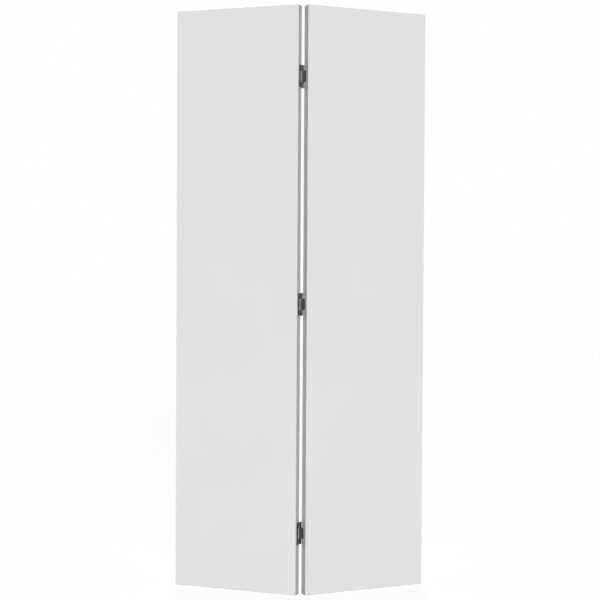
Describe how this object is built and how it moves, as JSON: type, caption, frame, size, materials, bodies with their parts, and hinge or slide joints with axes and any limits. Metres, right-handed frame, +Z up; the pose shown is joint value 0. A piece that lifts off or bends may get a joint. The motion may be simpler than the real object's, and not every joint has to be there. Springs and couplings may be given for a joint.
{
  "type": "bifold closet door",
  "caption": "Flush hollow-core bifold closet door: two white panels, partly folded, joined by non-mortise hinges with nesting leaves.",
  "frame": {"origin": "under the middle of the half-folded door's bounding box, on the surface the door stands on", "axes": "+Z up along the door, +X to the right seen from the front, +Y to the back; the fold stands out to -Y"},
  "size_m": [0.8692, 0.1964, 2.0066],
  "materials": {
    "primed_hardboard": "satin",
    "primed_pine": "satin",
    "raw_pine": "matte",
    "kraft_paper": "matte",
    "hinge_steel": "satin",
    "screw_steel": "satin"
  },
  "bodies": {
    "left_panel": {"left_front_skin": "primed_hardboard", "left_back_skin": "primed_hardboard", "left_meeting_stile": "primed_pine", "left_outer_stile": "primed_pine", "left_top_rail": "raw_pine", "left_bottom_rail": "raw_pine", "left_lock_block": "raw_pine", "left_honeycomb_core": "kraft_paper", "top_hinge_outer_leaf": "hinge_steel", "top_hinge_pin": "hinge_steel", "top_hinge_outer_screws": "screw_steel", "middle_hinge_outer_leaf": "hinge_steel", "middle_hinge_pin": "hinge_steel", "middle_hinge_outer_screws": "screw_steel", "bottom_hinge_outer_leaf": "hinge_steel", "bottom_hinge_pin": "hinge_steel", "bottom_hinge_outer_screws": "screw_steel"},
    "right_panel": {"right_front_skin": "primed_hardboard", "right_back_skin": "primed_hardboard", "right_meeting_stile": "primed_pine", "right_outer_stile": "primed_pine", "right_top_rail": "raw_pine", "right_bottom_rail": "raw_pine", "right_lock_block": "raw_pine", "right_honeycomb_core": "kraft_paper", "top_hinge_inner_leaf": "hinge_steel", "top_hinge_inner_screws": "screw_steel", "middle_hinge_inner_leaf": "hinge_steel", "middle_hinge_inner_screws": "screw_steel", "bottom_hinge_inner_leaf": "hinge_steel", "bottom_hinge_inner_screws": "screw_steel"}
  },
  "joints": [
    {"name": "panel_fold", "type": "hinge", "parent": "left_panel", "child": "right_panel", "pos_m": [0, -0.05969, 0], "axis": [0, 0, 1], "range_deg": [-43, 137]}
  ]
}
